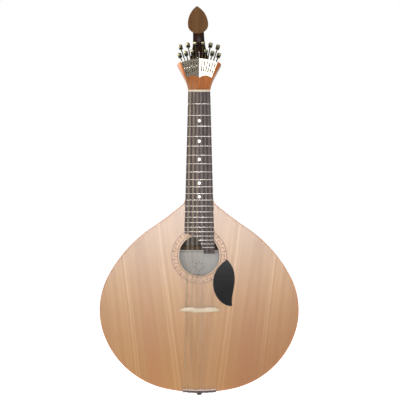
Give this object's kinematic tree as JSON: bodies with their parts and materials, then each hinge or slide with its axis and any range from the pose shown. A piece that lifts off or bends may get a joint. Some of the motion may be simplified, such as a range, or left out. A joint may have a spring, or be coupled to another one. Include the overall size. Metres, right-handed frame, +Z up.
{
  "type": "portuguese guitar",
  "caption": "Pear-shaped steel-strung plucked instrument with a fretted neck, loose bone bridge, teardrop finial and fan-shaped screw tuner.",
  "frame": {"origin": "on the end button's axis, halfway along its rim, at the tail", "axes": "+Z runs up the neck from the tail to the finial, -Y is the way the soundboard faces, +X is the treble side"},
  "size_m": [0.4332, 0.1, 0.8553],
  "materials": {
    "top_wood": "satin lacquer over pale straight-grained spruce",
    "rosette_inlay": "satin, ring of small inlaid cells",
    "binding_wood": "satin thin edge strip",
    "back_wood": "gloss lacquer over reddish brown wood",
    "strip_wood": "gloss dark strip",
    "inner_wood": "raw planed wood",
    "brace_wood": "raw planed wood",
    "label_paper": "matte paper",
    "board_wood": "oiled dark rosewood",
    "pearl": "pearl",
    "fret_metal": "polished nickel silver",
    "neck_wood": "satin lacquer over reddish brown wood",
    "bone": "polished bone",
    "saddle_bone": "polished bone",
    "plate_nickel": "polished nickel plate",
    "screw_steel": "bright steel",
    "head_wood": "satin lacquer over orange brown wood",
    "stem_wood": "gloss dark red brown stain",
    "finial_wood": "matte straight-grained wood",
    "pickguard_black": "satin black",
    "tail_metal": "dark nickel",
    "button_wood": "gloss ebony",
    "hook_steel": "polished steel",
    "tuner_nickel": "aged nickel, dark collar",
    "wound_wire": "bronze winding",
    "plain_wire": "bright steel"
  },
  "bodies": {
    "root": {"back_bass_half": "back_wood", "back_braces": "brace_wood", "back_centre_strip": "strip_wood", "back_treble_half": "back_wood", "bindings": "binding_wood", "bridge": "bone", "centre_spike": "plate_nickel", "end_button": "button_wood", "fan_plate": "plate_nickel", "fan_plate_screws": "screw_steel", "fingerboard": "board_wood", "finial": "finial_wood", "fret_dots": "pearl", "frets": "fret_metal", "headstock": "head_wood", "heel_cap": "strip_wood", "label": "label_paper", "linings": "inner_wood", "neck": "neck_wood", "neck_block": "inner_wood", "nut": "bone", "pickguard": "pickguard_black", "plain_strings": "plain_wire", "rosette": "rosette_inlay", "side_bass": "back_wood", "side_treble": "back_wood", "soundboard_bass_half": "top_wood", "soundboard_braces": "inner_wood", "soundboard_treble_half": "top_wood", "spindle_bearings": "plate_nickel", "stem": "stem_wood", "tail_block": "inner_wood", "tail_saddle": "saddle_bone", "tailpiece": "tail_metal", "tailpiece_screws": "screw_steel", "wound_strings": "wound_wire"},
    "tuner_01": {"tuner_01": "tuner_nickel"},
    "hook_01": {"hook_01": "hook_steel"},
    "tuner_02": {"tuner_02": "tuner_nickel"},
    "hook_02": {"hook_02": "hook_steel"},
    "tuner_03": {"tuner_03": "tuner_nickel"},
    "hook_03": {"hook_03": "hook_steel"},
    "tuner_04": {"tuner_04": "tuner_nickel"},
    "hook_04": {"hook_04": "hook_steel"},
    "tuner_05": {"tuner_05": "tuner_nickel"},
    "hook_05": {"hook_05": "hook_steel"},
    "tuner_06": {"tuner_06": "tuner_nickel"},
    "hook_06": {"hook_06": "hook_steel"},
    "tuner_07": {"tuner_07": "tuner_nickel"},
    "hook_07": {"hook_07": "hook_steel"},
    "tuner_08": {"tuner_08": "tuner_nickel"},
    "hook_08": {"hook_08": "hook_steel"},
    "tuner_09": {"tuner_09": "tuner_nickel"},
    "hook_09": {"hook_09": "hook_steel"},
    "tuner_10": {"tuner_10": "tuner_nickel"},
    "hook_10": {"hook_10": "hook_steel"},
    "tuner_11": {"tuner_11": "tuner_nickel"},
    "hook_11": {"hook_11": "hook_steel"},
    "tuner_12": {"tuner_12": "tuner_nickel"},
    "hook_12": {"hook_12": "hook_steel"}
  },
  "joints": [
    {"name": "tuner_01_turn", "type": "hinge", "parent": "root", "child": "tuner_01", "pos_m": [-0.03669, -0.01812, 0.72863], "axis": [-0.3442, 0.2304, 0.9102], "range_deg": [-5042, 5248]},
    {"name": "hook_01_travel", "type": "slide", "parent": "root", "child": "hook_01", "axis": [-0.3442, 0.2304, 0.9102], "range_m": [-0.0102, 0.0098], "deforming": ["wound_strings"]},
    {"name": "tuner_02_turn", "type": "hinge", "parent": "root", "child": "tuner_02", "pos_m": [-0.03074, -0.01832, 0.73073], "axis": [-0.2891, 0.2287, 0.9296], "range_deg": [-5556, 4733]},
    {"name": "hook_02_travel", "type": "slide", "parent": "root", "child": "hook_02", "axis": [-0.2891, 0.2287, 0.9296], "range_m": [-0.0092, 0.0108], "deforming": ["wound_strings"]},
    {"name": "tuner_03_turn", "type": "hinge", "parent": "root", "child": "tuner_03", "pos_m": [-0.02468, -0.01859, 0.73249], "axis": [-0.233, 0.2261, 0.9458], "range_deg": [-6276, 4013]},
    {"name": "hook_03_travel", "type": "slide", "parent": "root", "child": "hook_03", "axis": [-0.233, 0.2261, 0.9458], "range_m": [-0.0078, 0.0122], "deforming": ["wound_strings"]},
    {"name": "tuner_04_turn", "type": "hinge", "parent": "root", "child": "tuner_04", "pos_m": [-0.01854, -0.01895, 0.73389], "axis": [-0.1761, 0.2227, 0.9588], "range_deg": [-4836, 5453]},
    {"name": "hook_04_travel", "type": "slide", "parent": "root", "child": "hook_04", "axis": [-0.1761, 0.2227, 0.9588], "range_m": [-0.0106, 0.0094], "deforming": ["wound_strings"]},
    {"name": "tuner_05_turn", "type": "hinge", "parent": "root", "child": "tuner_05", "pos_m": [-0.01233, -0.0194, 0.73494], "axis": [-0.1186, 0.2186, 0.9686], "range_deg": [-5968, 4322]},
    {"name": "hook_05_travel", "type": "slide", "parent": "root", "child": "hook_05", "axis": [-0.1186, 0.2186, 0.9686], "range_m": [-0.0084, 0.0116], "deforming": ["wound_strings"]},
    {"name": "tuner_06_turn", "type": "hinge", "parent": "root", "child": "tuner_06", "pos_m": [-0.00608, -0.01992, 0.73564], "axis": [-0.0607, 0.2138, 0.975], "range_deg": [-5299, 4991]},
    {"name": "hook_06_travel", "type": "slide", "parent": "root", "child": "hook_06", "axis": [-0.0607, 0.2138, 0.975], "range_m": [-0.0097, 0.0103], "deforming": ["wound_strings"]},
    {"name": "tuner_07_turn", "type": "hinge", "parent": "root", "child": "tuner_07", "pos_m": [0.00608, -0.01992, 0.73564], "axis": [0.0607, 0.2138, 0.975], "range_deg": [-5299, 4991]},
    {"name": "hook_07_travel", "type": "slide", "parent": "root", "child": "hook_07", "axis": [0.0607, 0.2138, 0.975], "range_m": [-0.0097, 0.0103], "deforming": ["plain_strings"]},
    {"name": "tuner_08_turn", "type": "hinge", "parent": "root", "child": "tuner_08", "pos_m": [0.01233, -0.0194, 0.73494], "axis": [0.1186, 0.2186, 0.9686], "range_deg": [-5968, 4322]},
    {"name": "hook_08_travel", "type": "slide", "parent": "root", "child": "hook_08", "axis": [0.1186, 0.2186, 0.9686], "range_m": [-0.0084, 0.0116], "deforming": ["plain_strings"]},
    {"name": "tuner_09_turn", "type": "hinge", "parent": "root", "child": "tuner_09", "pos_m": [0.01854, -0.01895, 0.73389], "axis": [0.1761, 0.2227, 0.9588], "range_deg": [-4836, 5453]},
    {"name": "hook_09_travel", "type": "slide", "parent": "root", "child": "hook_09", "axis": [0.1761, 0.2227, 0.9588], "range_m": [-0.0106, 0.0094], "deforming": ["plain_strings"]},
    {"name": "tuner_10_turn", "type": "hinge", "parent": "root", "child": "tuner_10", "pos_m": [0.02468, -0.01859, 0.73249], "axis": [0.233, 0.2261, 0.9458], "range_deg": [-6276, 4013]},
    {"name": "hook_10_travel", "type": "slide", "parent": "root", "child": "hook_10", "axis": [0.233, 0.2261, 0.9458], "range_m": [-0.0078, 0.0122], "deforming": ["plain_strings"]},
    {"name": "tuner_11_turn", "type": "hinge", "parent": "root", "child": "tuner_11", "pos_m": [0.03074, -0.01832, 0.73073], "axis": [0.2891, 0.2287, 0.9296], "range_deg": [-5556, 4733]},
    {"name": "hook_11_travel", "type": "slide", "parent": "root", "child": "hook_11", "axis": [0.2891, 0.2287, 0.9296], "range_m": [-0.0092, 0.0108], "deforming": ["plain_strings"]},
    {"name": "tuner_12_turn", "type": "hinge", "parent": "root", "child": "tuner_12", "pos_m": [0.03669, -0.01812, 0.72863], "axis": [0.3442, 0.2304, 0.9102], "range_deg": [-5042, 5248]},
    {"name": "hook_12_travel", "type": "slide", "parent": "root", "child": "hook_12", "axis": [0.3442, 0.2304, 0.9102], "range_m": [-0.0102, 0.0098], "deforming": ["plain_strings"]}
  ],
  "couplings": [
    {"joint": "tuner_01_turn", "follows": "hook_01_travel", "rad_per_m": -8976},
    {"joint": "tuner_02_turn", "follows": "hook_02_travel", "rad_per_m": -8976},
    {"joint": "tuner_03_turn", "follows": "hook_03_travel", "rad_per_m": -8976},
    {"joint": "tuner_04_turn", "follows": "hook_04_travel", "rad_per_m": -8976},
    {"joint": "tuner_05_turn", "follows": "hook_05_travel", "rad_per_m": -8976},
    {"joint": "tuner_06_turn", "follows": "hook_06_travel", "rad_per_m": -8976},
    {"joint": "tuner_07_turn", "follows": "hook_07_travel", "rad_per_m": -8976},
    {"joint": "tuner_08_turn", "follows": "hook_08_travel", "rad_per_m": -8976},
    {"joint": "tuner_09_turn", "follows": "hook_09_travel", "rad_per_m": -8976},
    {"joint": "tuner_10_turn", "follows": "hook_10_travel", "rad_per_m": -8976},
    {"joint": "tuner_11_turn", "follows": "hook_11_travel", "rad_per_m": -8976},
    {"joint": "tuner_12_turn", "follows": "hook_12_travel", "rad_per_m": -8976}
  ]
}
